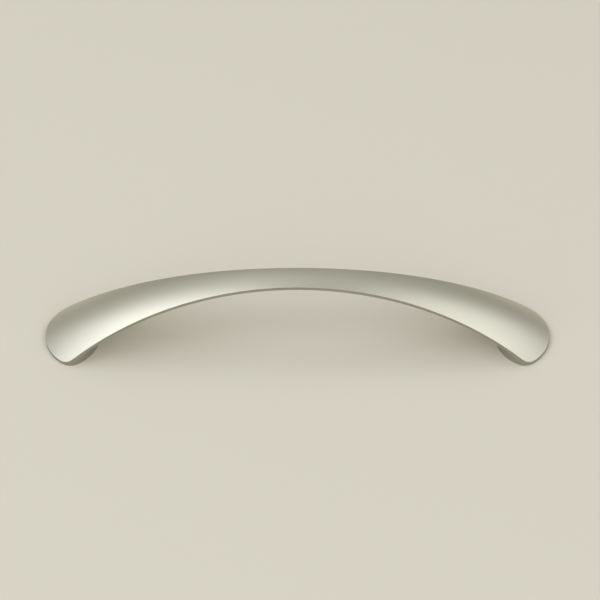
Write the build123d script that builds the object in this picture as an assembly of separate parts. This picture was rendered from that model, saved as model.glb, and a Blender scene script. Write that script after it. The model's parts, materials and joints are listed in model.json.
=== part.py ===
# Bow cabinet handle: one zinc die-casting, held from behind by two M4 screws.
# X runs along the handle, Y across it and +Z away from the mounting face, which is z = 0.
import os
from math import asin, cos, degrees, radians, sin, sqrt, tan

from build123d import *

# Driving dimensions, in millimetres and degrees
hole_spacing = 128.0      # centre to centre of the two screw holes
tip_overhang = 11.0       # from a screw hole out to the tip beside it
crest_height = 26.0       # top of the bow above the mounting face
tip_height = 1.2          # top of the bow at its tips
waist_width = 8.0         # narrowest width, at mid length
shoulder_width = 23.7     # width where a hollow side would meet the rounded end
shoulder_setback = 6.8    # from the tip back to that meeting
shoulder_radius = 4.2     # rounding of that meeting, seen from above
crown_drop = 3.9          # from the middle of the crown down to its edge at the shoulders
rim_height = 1.1          # upright edge between the crown and the underside
rim_round = 0.4           # rounding above and below the rim
belly_angle = 43.0        # slope at which the rounded underside leaves the rim
foot_reach = 5.1          # from a screw hole in to the inner side of its foot
foot_corner = 1.4         # from where that inner side meets the handle's side out to the shoulder
blend_share = 0.7         # hollow rounding above a foot, as a share of the foot's least height
foot_chamfer = 0.25       # broken edge around the face that lies on the door
thread_diameter = 4.0     # M4, the bore is left plain at the thread's outer diameter
drill_angle = 118.0       # point of the drill at the blind end of a screw hole
hole_cover = 1.5          # metal left between that point and the crown
hole_countersink = 0.4    # chamfer at the mouth of a screw hole

# How the shapes are cut
spare = 2.0               # how far a cutting shape runs past what it cuts
stations = 9              # sections along the underside

# Worked out from the driving dimensions
hole_x = hole_spacing / 2
tip_x = hole_x + tip_overhang
shoulder_x = tip_x - shoulder_setback
rise = crest_height - tip_height
bow_radius = (tip_x**2 + rise**2) / (2 * rise)
bow_centre = crest_height - bow_radius
crown_radius = ((shoulder_width / 2) ** 2 + crown_drop**2) / (2 * crown_drop)
side_rise = (shoulder_width - waist_width) / 2
side_radius = (shoulder_x**2 + side_rise**2) / (2 * side_rise)
far_x = tip_x + spare
lid = crest_height + spare


def half_width_at(x):
    """Half the width between the hollow sides at x."""
    return waist_width / 2 + side_radius - sqrt(side_radius**2 - x**2)


def crown_at(x, y):
    """Height of the crown above the point (x, y)."""
    around = bow_radius - crown_radius + sqrt(crown_radius**2 - y**2)
    return bow_centre + sqrt(around**2 - x**2)


def crowned_bar():
    """All that lies under the crown: its profile turned about the centre of the bow."""
    half = shoulder_width / 2 + spare
    edge = crown_at(0, half)
    low = bow_centre + bow_radius / 2
    crown = ThreePointArc((-half, edge), (0, crest_height), (half, edge))
    walls = Polyline((half, edge), (half, low), (-half, low), (-half, edge))
    profile = Plane.YZ * make_face(crown + walls)
    axis = Axis((0, 0, bow_centre), (0, 1, 0))
    swing = degrees(asin(far_x / bow_radius))
    return revolve(profile.rotate(axis, -swing), axis, 2 * swing)


def plan_outline():
    """Outline from above: two hollow sides and two rounded ends, with rounded shoulders."""
    half = shoulder_width / 2
    waist = waist_width / 2
    arcs = []
    for s in (1, -1):
        arcs.append(ThreePointArc((-shoulder_x, s * half), (0, s * waist), (shoulder_x, s * half)))
        arcs.append(ThreePointArc((s * shoulder_x, half), (s * tip_x, 0), (s * shoulder_x, -half)))
    outline = make_face(arcs)
    return fillet(outline.vertices(), shoulder_radius)


def belly_section(x):
    """All that lies above the rounded underside at x, carried on past both rims."""
    leave = radians(belly_angle)
    past = (leave + radians(90)) / 2
    half = half_width_at(x)
    radius = half / sin(leave)
    centre = crown_at(x, half) - rim_height + radius * cos(leave)
    wide = radius * sin(past)
    high = centre - radius * cos(past)
    belly = ThreePointArc((-wide, high), (0, centre - radius), (wide, high))
    walls = Polyline((wide, high), (wide, lid), (-wide, lid), (-wide, high))
    return Plane.YZ.offset(x) * make_face(belly + walls)


def foot_corner_place():
    """Where the inner side of the right foot meets the handle's side, as x and y."""
    shoulder = plan_outline().vertices().sort_by(Axis.X)[-4]
    x = shoulder.X - foot_corner
    return x, half_width_at(x)


def underside():
    """All that lies above the underside, with the two feet blended into it."""
    places = [far_x * (2 * i / (stations - 1) - 1) for i in range(stations)]
    belly = loft([belly_section(x) for x in places])
    corner_x, corner_y = foot_corner_place()
    nose_x = hole_x - foot_reach
    inward = corner_x - nose_x
    foot_radius = (inward**2 + corner_y**2) / (2 * inward)
    column = Pos(nose_x + foot_radius, 0, 0) * Cylinder(foot_radius, 2 * crest_height)
    foot = column & Box(2 * far_x, 2 * shoulder_width, 2 * lid)
    joined = belly + [foot, foot.mirror(Plane.YZ)]
    foot_walls = joined.faces().filter_by(GeomType.CYLINDER)
    seams = [e for e in foot_walls.edges() if e.geom_type == GeomType.BSPLINE]
    foot_height = crown_at(corner_x, corner_y) - rim_height
    return fillet(seams, blend_share * foot_height)


def screw_hole():
    """Blind hole with a countersunk mouth and a drill point, standing on z = 0."""
    bore = thread_diameter / 2
    point = bore / tan(radians(drill_angle / 2))
    end = crown_at(hole_x, 0) - hole_cover
    mouth = bore + hole_countersink
    half_section = Polyline(
        (0, 0), (mouth, 0), (bore, hole_countersink), (bore, end - point), (0, end), (0, 0)
    )
    return revolve(Plane.XZ * make_face(half_section), Axis.Z)


def bow_handle():
    """The whole casting."""
    blank = crowned_bar() & extrude(plan_outline(), lid)
    crown = blank.faces().sort_by(Axis.Z)[-1]
    handle = fillet(crown.edges(), rim_round) & underside()
    belly = handle.faces().filter_by(GeomType.BSPLINE).sort_by(SortBy.AREA)[-1]
    handle = fillet(belly.edges().sort_by(SortBy.LENGTH)[-2:], rim_round)
    feet = handle.faces().filter_by(GeomType.PLANE)
    handle = chamfer(feet.edges(), foot_chamfer)
    return handle - [Pos(s * hole_x, 0, 0) * screw_hole() for s in (1, -1)]


os.makedirs("parts", exist_ok=True)
export_step(bow_handle(), "parts/bow_handle.step")
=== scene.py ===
# Bow cabinet handle in satin nickel: one casting standing on its two feet, on pale paper.
import json
from math import asin, atan2, cos, pi, radians, sin, sqrt, tan

import bpy
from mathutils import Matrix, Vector
from mathutils.geometry import intersect_sphere_sphere_2d


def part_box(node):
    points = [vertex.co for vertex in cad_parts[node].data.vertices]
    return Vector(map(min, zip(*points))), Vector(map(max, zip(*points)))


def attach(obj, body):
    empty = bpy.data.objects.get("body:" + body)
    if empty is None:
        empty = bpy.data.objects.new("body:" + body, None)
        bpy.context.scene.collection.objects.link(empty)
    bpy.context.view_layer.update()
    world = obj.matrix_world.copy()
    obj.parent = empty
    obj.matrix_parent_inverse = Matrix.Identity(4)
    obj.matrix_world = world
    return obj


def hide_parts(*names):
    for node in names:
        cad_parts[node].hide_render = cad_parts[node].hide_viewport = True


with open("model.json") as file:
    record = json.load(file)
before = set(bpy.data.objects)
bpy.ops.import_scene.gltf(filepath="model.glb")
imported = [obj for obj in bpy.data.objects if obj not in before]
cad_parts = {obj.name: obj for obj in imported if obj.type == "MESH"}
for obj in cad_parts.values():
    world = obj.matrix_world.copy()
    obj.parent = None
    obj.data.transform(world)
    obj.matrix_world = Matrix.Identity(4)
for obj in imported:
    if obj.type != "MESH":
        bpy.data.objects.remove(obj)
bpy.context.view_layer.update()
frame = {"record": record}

mm = 0.001

# Sizes that the frame gives
handle_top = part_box("bow_handle")[1]
tip_x = handle_top[0]
crest_height = handle_top[2]
screw_holes = next(m for m in frame["record"]["mounts"] if m["name"] == "screw_holes")
hole_x = screw_holes["dims"]["spacing_x_mm"] / 2 * mm
bore = screw_holes["dims"]["hole_r_mm"] * mm

# Sizes of the casting, as in the part's source
tip_height = 1.2 * mm          # top of the bow at its tips
waist_width = 8.0 * mm         # narrowest width, at mid length
shoulder_width = 23.7 * mm     # width where a hollow side would meet the rounded end
shoulder_setback = 6.8 * mm    # from the tip back to that meeting
shoulder_radius = 4.2 * mm     # rounding of that meeting, seen from above
crown_drop = 3.9 * mm          # from the middle of the crown down to its edge at the shoulders
rim_height = 1.1 * mm          # upright edge between the crown and the underside
belly_angle = radians(43)      # slope at which the rounded underside leaves the rim
foot_reach = 5.1 * mm          # from a screw hole in to the inner side of its foot
countersink = 0.4 * mm         # chamfer at the mouth of a screw hole
drill_angle = radians(118)     # point of the drill at the blind end
hole_cover = 1.5 * mm          # metal left between that point and the crown

# Sizes of the feet that the part's source has otherwise: 1.4 mm, and a chamfer of 0.25 mm
foot_corner = 0.4 * mm         # from where the inner side meets the handle's side out to the shoulder
foot_edge = 0.6 * mm           # rounding round the sole, from the sharp edge

# Other roundings, as distances from the sharp edge
rim_edge = 0.34 * mm
foot_blend = 1.1 * mm          # between a foot's inner wall and the underside: the widest rounding
blend_steps = 4

# M4 thread in each screw hole
thread_pitch = 0.7 * mm
thread_depth = 0.36 * mm
thread_sink = 0.04 * mm        # how far the ridge is let into the wall of the bore
thread_turns = 7
thread_start = 0.5 * mm        # lowest turn, above the mounting face
ridge_root = thread_pitch * 7 / 8
ridge_crest = thread_pitch / 4

# How finely the casting is divided, for one quarter of it
bow_rows = 74                  # along the bow, from the waist to a foot
corner_rows = 2                # along the side, from a foot's corner to the shoulder
shoulder_rows = 3              # round half of the shoulder, towards the waist
shoulder_columns = 2           # round the other half, towards the tip
end_columns = 9                # round the end to the tip
seam_room = 2.2 * mm           # row left wide beside a foot, for the blend there
bulge_power = 4                # the higher, the later the rows turn to follow an end or a foot
hole_sides = 64
thread_steps = 36              # in one turn
smooth_angle = radians(30)     # edges sharper than this stay sharp

# Levels of the slab that the casting is pressed from, and the tolerance of what is picked by place or normal
crown_level = 0
underside_level = -1
sole_level = -2
near = 1e-4

# Worked out from the sizes above
shoulder_half = shoulder_width / 2
shoulder_x = tip_x - shoulder_setback
rise = crest_height - tip_height
bow_radius = (tip_x**2 + rise**2) / (2 * rise)
bow_centre = crest_height - bow_radius
crown_radius = (shoulder_half**2 + crown_drop**2) / (2 * crown_drop)
side_rise = shoulder_half - waist_width / 2
side_radius = (shoulder_x**2 + side_rise**2) / (2 * side_rise)
side_centre = Vector((0, waist_width / 2 + side_radius))
end_radius = (shoulder_half**2 + shoulder_setback**2) / (2 * shoulder_setback)
end_centre = Vector((tip_x - end_radius, 0))
meets = intersect_sphere_sphere_2d(
    side_centre, side_radius + shoulder_radius, end_centre, end_radius - shoulder_radius
)
shoulder_centre = max(meets, key=lambda p: p.x)


# Shapes of the casting

def crown_at(x, y):
    """Height of the crown above the point (x, y)."""
    around = bow_radius - crown_radius + sqrt(crown_radius**2 - y**2)
    return bow_centre + sqrt(around**2 - x**2)


def half_width_at(x):
    """Half the width between the hollow sides at x."""
    return side_centre.y - sqrt(side_radius**2 - x**2)


def belly_at(x, y):
    """Height of the rounded underside at (x, y)."""
    half = half_width_at(x)
    radius = half / sin(belly_angle)
    centre = crown_at(x, half) - rim_height + radius * cos(belly_angle)
    return centre - sqrt(radius**2 - y**2)


def arc(centre, radius, start, end, steps):
    """Points round an arc, without its first one."""
    angles = [start + (end - start) * k / steps for k in range(1, steps + 1)]
    return [centre + radius * Vector((cos(a), sin(a))) for a in angles]


def heading(start, end):
    """Angle at which end is seen from start."""
    away = end - start
    return atan2(away.y, away.x)


def side_angle(x):
    """Angle of the hollow side at x, seen from the centre of its curve."""
    return asin(x / side_radius) - pi / 2


side_turn = heading(side_centre, shoulder_centre)
end_turn = heading(end_centre, shoulder_centre)
shoulder_start = side_turn + pi
shoulder_middle = (shoulder_start + end_turn) / 2
shoulder_seam = side_centre + side_radius * Vector((cos(side_turn), sin(side_turn)))
nose_x = hole_x - foot_reach
corner_x = shoulder_seam.x - foot_corner
corner_y = half_width_at(corner_x)
foot_radius = ((corner_x - nose_x) ** 2 + corner_y**2) / (2 * (corner_x - nose_x))
foot_centre = nose_x + foot_radius

# One quarter of the outline: the long edge from the waist, and the end from the tip
long_edge = [Vector((0, waist_width / 2))]
long_edge += arc(side_centre, side_radius, side_angle(0), side_angle(corner_x - seam_room), bow_rows)
long_edge += arc(side_centre, side_radius, side_angle(corner_x - seam_room), side_angle(corner_x), 1)
foot_row = len(long_edge) - 1
long_edge += arc(side_centre, side_radius, side_angle(corner_x), side_turn, corner_rows)
long_edge += arc(shoulder_centre, shoulder_radius, shoulder_start, shoulder_middle, shoulder_rows)
short_edge = [Vector((tip_x, 0))]
short_edge += arc(end_centre, end_radius, 0, end_turn, end_columns)
short_edge += arc(shoulder_centre, shoulder_radius, end_turn, shoulder_middle, shoulder_columns)
rows = len(long_edge) - 1
columns = len(short_edge) - 1
corner = long_edge[-1]
foot_line = foot_row / rows


def on_crown(row, column):
    """Place in the plan of a point of the crown's grid."""
    side = long_edge[row]
    end = short_edge[column]
    even = column / columns
    bulge = (row / rows) ** bulge_power
    spread = even + (end.y / corner.y - even) * bulge
    return side.x + (end.x - corner.x) * bulge, side.y * spread


def on_underside(row, column):
    """Place in the plan of a point of the underside's grid, whose rows follow the foot."""
    side = long_edge[row]
    even = column / columns
    nose_y = corner_y * even
    nose = Vector((foot_centre - sqrt(foot_radius**2 - nose_y**2), nose_y))
    if row <= foot_row:
        bulge = (row / foot_row) ** bulge_power
        return side.x + (nose.x - corner_x) * bulge, side.y * even
    share = (row - foot_row) / (rows - foot_row)
    between = nose.lerp(short_edge[column], share)
    edge = Vector((corner_x, corner_y)).lerp(corner, share)
    place = between + (side - edge) * even**bulge_power
    return place.x, place.y


# Modelling helpers

def only(obj):
    """Makes obj the one selected and active object."""
    bpy.ops.object.select_all(action="DESELECT")
    obj.select_set(True)
    bpy.context.view_layer.objects.active = obj


def start_piece(name):
    """Names the primitive that was just added."""
    piece = bpy.context.object
    piece.name = name
    piece.data.name = name
    return piece


def pick_faces(piece, wanted):
    """In edit mode, selects the faces that wanted() accepts."""
    bpy.ops.mesh.select_mode(type="FACE")
    bpy.ops.mesh.select_all(action="DESELECT")
    bpy.ops.object.mode_set(mode="OBJECT")
    for face in piece.data.polygons:
        face.select = wanted(face)
    bpy.ops.object.mode_set(mode="EDIT")


def draw_down(height):
    """In edit mode, extrudes the selected faces straight down."""
    bpy.ops.mesh.extrude_region_move(TRANSFORM_OT_translate={"value": (0, 0, -height)})


def apply_modifier(piece, kind, **settings):
    """Adds a modifier to piece and applies it."""
    only(piece)
    modifier = piece.modifiers.new(kind.title(), kind)
    for name, value in settings.items():
        setattr(modifier, name, value)
    bpy.ops.object.modifier_apply(modifier=modifier.name)


def cut(piece, cutter):
    """Takes cutter out of piece, and deletes it."""
    apply_modifier(piece, "BOOLEAN", object=cutter, operation="DIFFERENCE", solver="EXACT")
    bpy.data.objects.remove(cutter)


# The casting

def bow_casting():
    """The handle: a slab with two feet, blocked out flat and then pressed to shape."""
    bpy.ops.object.select_all(action="DESELECT")
    bpy.ops.mesh.primitive_grid_add(x_subdivisions=2 * rows, y_subdivisions=2 * columns, size=2)
    piece = start_piece("bow_casting")
    bpy.ops.object.mode_set(mode="EDIT")
    bpy.ops.mesh.select_all(action="SELECT")
    draw_down(crown_level - underside_level)
    pick_faces(piece, is_over_foot)
    draw_down(underside_level - sole_level)
    bpy.ops.mesh.select_all(action="SELECT")
    bpy.ops.mesh.normals_make_consistent(inside=False)
    bpy.ops.object.mode_set(mode="OBJECT")
    weigh_edges(piece.data)
    press(piece.data)
    apply_modifier(piece, "BEVEL", limit_method="WEIGHT", width=foot_blend, segments=blend_steps)
    trim_sides(piece.data)
    for side in (-1, 1):
        cut(piece, screw_bit(side))
    only(piece)
    bpy.ops.object.shade_smooth_by_angle(angle=smooth_angle)
    apply_modifier(piece, "WEIGHTED_NORMAL", keep_sharp=True)
    return piece


def is_over_foot(face):
    """Whether a face of the slab's underside is where a foot goes."""
    return face.center.z < underside_level + near and abs(face.center.x) > foot_line


def weigh_edges(mesh):
    """Gives each edge that is to be rounded its share of the widest rounding."""
    share = mesh.attributes.new("bevel_weight_edge", "FLOAT", "EDGE")
    for edge in mesh.edges:
        a, b = (mesh.vertices[v].co for v in edge.vertices)
        if abs(a.z - b.z) > near:
            continue
        level = round(a.z)
        around = any(abs(a[k]) > 1 - near and abs(a[k] - b[k]) < near for k in (0, 1))
        on_nose = abs(abs(a.x) - foot_line) < near and abs(a.x - b.x) < near
        beyond = max(abs(a.x), abs(b.x)) > foot_line + near
        if level == crown_level and around:
            share.data[edge.index].value = rim_edge / foot_blend
        elif level == underside_level and on_nose:
            share.data[edge.index].value = 1
        elif level == underside_level and around and not beyond:
            share.data[edge.index].value = rim_edge / foot_blend
        elif level == sole_level and (around or on_nose):
            share.data[edge.index].value = foot_edge / foot_blend


def press(mesh):
    """Moves each point of the flat slab to its place on the crown, the underside or a foot."""
    for vertex in mesh.vertices:
        u, v, height = vertex.co
        level = round(height)
        row = round(abs(u) * rows)
        column = round(abs(v) * columns)
        x, y = on_crown(row, column) if level == crown_level else on_underside(row, column)
        crown = crown_at(x, y)
        outline = row == rows or column == columns
        if level == crown_level:
            z = crown
        elif level == sole_level:
            z = 0
        elif outline:
            z = max(crown - rim_height, crown / 2)
        else:
            z = belly_at(x, y)
        vertex.co = (x if u > 0 else -x, y if v > 0 else -y, z)


def trim_sides(mesh):
    """Brings back what the roundings push out past the hollow sides where they meet at a foot."""
    for vertex in mesh.vertices:
        if abs(vertex.co.x) < shoulder_seam.x:
            half = half_width_at(vertex.co.x)
            vertex.co.y = max(-half, min(half, vertex.co.y))


def screw_bit(side):
    """The shape that a drill and a countersink leave, to be cut out of a foot."""
    end = crown_at(hole_x, 0) - hole_cover
    point = bore / tan(drill_angle / 2)
    depth = end - point - countersink
    bpy.ops.object.select_all(action="DESELECT")
    bpy.ops.mesh.primitive_cylinder_add(
        vertices=hole_sides, radius=bore, depth=depth, location=(side * hole_x, 0, countersink + depth / 2)
    )
    bit = start_piece("screw_bit")
    only(bit)
    bpy.ops.object.transform_apply(location=True, rotation=True, scale=True)
    bpy.ops.object.mode_set(mode="EDIT")
    pick_faces(bit, lambda face: face.normal.z > 1 - near)
    draw_down(-point)
    bpy.ops.mesh.merge(type="CENTER")
    pick_faces(bit, lambda face: face.normal.z < near - 1)
    draw_down(2 * countersink)
    wide = (bore + 2 * countersink) / bore
    bpy.ops.transform.resize(value=(wide, wide, 1), center_override=(side * hole_x, 0, 0))
    bpy.ops.object.mode_set(mode="OBJECT")
    return bit


def screw_thread(side):
    """The ridge that a tap leaves in a screw hole."""
    bpy.ops.object.select_all(action="DESELECT")
    bpy.ops.mesh.primitive_circle_add(vertices=4, radius=thread_pitch / 2)
    ridge = start_piece("screw_thread_left" if side < 0 else "screw_thread_right")
    root = bore + thread_sink
    crest = bore - thread_depth
    section = (
        (root, -ridge_root / 2), (crest, -ridge_crest / 2),
        (crest, ridge_crest / 2), (root, ridge_root / 2),
    )
    for vertex, (across, up) in zip(ridge.data.vertices, section):
        vertex.co = (across, 0, up + thread_start)
    apply_modifier(
        ridge, "SCREW", axis="Z", screw_offset=thread_pitch, iterations=thread_turns,
        steps=thread_steps, render_steps=thread_steps, use_smooth_shade=True,
    )
    bpy.ops.object.mode_set(mode="EDIT")
    bpy.ops.mesh.select_mode(type="EDGE")
    bpy.ops.mesh.select_all(action="DESELECT")
    bpy.ops.mesh.select_non_manifold(extend=False)
    bpy.ops.mesh.edge_face_add()
    bpy.ops.mesh.select_all(action="SELECT")
    bpy.ops.mesh.normals_make_consistent(inside=False)
    bpy.ops.transform.translate(value=(side * hole_x, 0, 0))
    bpy.ops.object.mode_set(mode="OBJECT")
    bpy.ops.object.shade_smooth_by_angle(angle=smooth_angle)
    return ridge


# Materials

# Upward part of the normals of upright faces; the crown faces further up, the underside further down
upright_from = -0.2
upright_to = 0.5

# Nickel plating on the brushed faces, and on the upright sides in darker tones that are painted shade
cloud_size = 18 * mm
relief_strength = 0.06
relief_height = 0.05 * mm
brushed_tones = ("#D3D1C0", "#D7D5C4")
brushed_dullness = (0.43, 0.49)
brushed_grain = (5 * mm, 0.3 * mm, 0.3 * mm)
# Darker tones for the upright sides: painted shade
painted_shade_tones = ("#ADAB9E", "#B4B2A6")
painted_shade_dullness = (0.5, 0.56)
painted_shade_grain = (0.6 * mm, 0.6 * mm, 0.6 * mm)


def linear(code):
    """An sRGB hex colour as linear red, green, blue and alpha."""
    parts = [int(code[k:k + 2], 16) / 255 for k in (1, 3, 5)]
    return [c / 12.92 if c <= 0.04045 else ((c + 0.055) / 1.055) ** 2.4 for c in parts] + [1]


def add_node(tree, kind, sockets=None, **settings):
    """Adds a node; sockets gives inputs a value, or the output that feeds them."""
    node = tree.nodes.new(kind)
    for name, value in settings.items():
        setattr(node, name, value)
    for name, value in (sockets or {}).items():
        if isinstance(value, bpy.types.NodeSocket):
            tree.links.new(value, node.inputs[name])
        else:
            node.inputs[name].default_value = value
    return node


def new_material(name):
    """A material with only its output node."""
    material = bpy.data.materials.new(name)
    material.use_nodes = True
    tree = material.node_tree
    tree.nodes.clear()
    return material, tree, add_node(tree, "ShaderNodeOutputMaterial")


def nickel_plating(name, tones, dullness, grain_size):
    """Nickel plating on the zinc casting, in two close tones, with the grain of the metal under it."""
    material, tree, output = new_material(name)
    where = add_node(tree, "ShaderNodeTexCoord").outputs["Object"]
    stretched = add_node(tree, "ShaderNodeMapping", {
        "Vector": where, "Scale": [1 / size for size in grain_size],
    })
    grain = add_node(tree, "ShaderNodeTexNoise", {
        "Vector": stretched.outputs["Vector"], "Scale": 1, "Detail": 2, "Roughness": 0.6,
    })
    cloud = add_node(tree, "ShaderNodeTexNoise", {"Vector": where, "Scale": 1 / cloud_size, "Detail": 1})
    tone = add_node(tree, "ShaderNodeMix", {
        "Factor": cloud.outputs["Fac"], "A": linear(tones[0]), "B": linear(tones[1]),
    }, data_type="RGBA")
    dull = add_node(tree, "ShaderNodeMapRange", {
        "Value": grain.outputs["Fac"], "To Min": dullness[0], "To Max": dullness[1],
    })
    relief = add_node(tree, "ShaderNodeBump", {
        "Height": grain.outputs["Fac"], "Strength": relief_strength, "Distance": relief_height,
    })
    surface = add_node(tree, "ShaderNodeBsdfPrincipled", {
        "Base Color": tone.outputs["Result"], "Metallic": 1, "Roughness": dull.outputs["Result"],
        "Normal": relief.outputs["Normal"],
    })
    tree.links.new(surface.outputs["BSDF"], output.inputs["Surface"])
    return material


def is_upright(face):
    """Whether a face is on the rim, the wall of a foot or the wall of a screw hole."""
    return upright_from < face.normal.z < upright_to


def pale_paper():
    """Matt off-white backdrop paper, which lets the pale metal stand out without a hard contrast."""
    material, tree, output = new_material("pale_paper")
    surface = add_node(tree, "ShaderNodeBsdfPrincipled", {
        "Base Color": linear("#D5D0BE"), "Roughness": 0.9, "Specular IOR Level": 0.1,
    })
    tree.links.new(surface.outputs["BSDF"], output.inputs["Surface"])
    return material


# The picture

floor_size = 4
floor_gap = 0.02 * mm          # keeps the paper just clear of the soles
studio_radius = 1.5            # from the handle to each lamp
room_light = 0.03

# Light from the left is a little cool, from the right almost neutral, and from behind faintly warm
left_tint = "#F3F5FF"
right_tint = "#F9F9FD"
back_tint = "#FFFDF6"


def softbox(name, azimuth, elevation, size, power, tint):
    """A square soft light that faces the handle; azimuth runs from +X towards +Y, in degrees."""
    turn = radians(azimuth)
    climb = radians(elevation)
    away = Vector((cos(climb) * cos(turn), cos(climb) * sin(turn), sin(climb)))
    bpy.ops.object.light_add(type="AREA", location=away * studio_radius)
    lamp = bpy.context.object
    lamp.name = name
    lamp.data.shape = "SQUARE"
    lamp.data.size = size
    lamp.data.energy = power
    lamp.data.color = linear(tint)[:3]
    lamp.rotation_euler = (-away).to_track_quat("-Z", "Y").to_euler()


def studio():
    """Pale paper under soft lights on all sides, in a dim room."""
    bpy.ops.mesh.primitive_plane_add(size=floor_size, location=(0, 0, -floor_gap))
    floor = start_piece("paper_floor")
    floor.data.materials.append(pale_paper())
    softbox("left_softbox", azimuth=181, elevation=58, size=1.42, power=9.6, tint=left_tint)
    softbox("front_left_softbox", azimuth=219, elevation=35, size=1.7, power=13.1, tint=left_tint)
    softbox("right_softbox", azimuth=10, elevation=44, size=1.28, power=6.8, tint=right_tint)
    softbox("front_right_softbox", azimuth=312, elevation=34, size=1.6, power=11.4, tint=right_tint)
    softbox("back_left_softbox", azimuth=133, elevation=38, size=1.74, power=4.15, tint=back_tint)
    softbox("back_right_softbox", azimuth=64, elevation=38, size=1.74, power=3.5, tint=back_tint)
    world = bpy.data.worlds.new("studio")
    bpy.context.scene.world = world
    world.use_nodes = True
    world.node_tree.nodes["Background"].inputs["Color"].default_value = linear("#FFFFFF")
    world.node_tree.nodes["Background"].inputs["Strength"].default_value = room_light
    bpy.context.scene.view_settings.view_transform = "Standard"


def camera():
    """Looks down along +Y, from far off through a long lens, aimed a little off the handle's middle."""
    tilt = radians(46)
    distance = 1500 * mm
    right = 0.77 * mm
    up = 2.16 * mm
    aim = Vector((right, up * sin(tilt), crest_height / 2 + up * cos(tilt)))
    place = aim + distance * Vector((0, -cos(tilt), sin(tilt)))
    bpy.ops.object.camera_add(location=place, rotation=(pi / 2 - tilt, 0, 0))
    shot = bpy.context.object
    shot.data.sensor_width = 36
    shot.data.lens = 304
    shot.data.clip_end = 20
    bpy.context.scene.camera = shot


# Brushed along its length before plating: a soft, faintly warm sheen with hardly any grain.
# The brush marks, about 0.05 mm wide, are drawn coarser so that they show at all.
brushed = nickel_plating("satin_nickel_plating", brushed_tones, brushed_dullness, brushed_grain)
# Upright sides and screw threads: the same nickel, duller, with a fine even tooth, and darker, which is
# painted shade.
painted_shade_sides = nickel_plating("nickel_plating_with_painted_shade", painted_shade_tones, painted_shade_dullness, painted_shade_grain)

casting = bow_casting()
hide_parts("bow_handle")
# Each piece's materials: the brushed finish, and darker tones that are painted shade
finish_and_shade_materials = {casting: (brushed, painted_shade_sides)}
# The threads in the bores take the darker tones too, as painted shade
for side in (-1, 1):
    finish_and_shade_materials[screw_thread(side)] = (painted_shade_sides,)
for piece, materials in finish_and_shade_materials.items():
    piece.data.materials.clear()
    for material in materials:
        piece.data.materials.append(material)
    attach(piece, "root")
# Upright faces take the darker tones, painted shade; the rest take the brushed finish
for face in casting.data.polygons:
    face.material_index = finish_and_shade_materials[casting].index(painted_shade_sides if is_upright(face) else brushed)
studio()
camera()
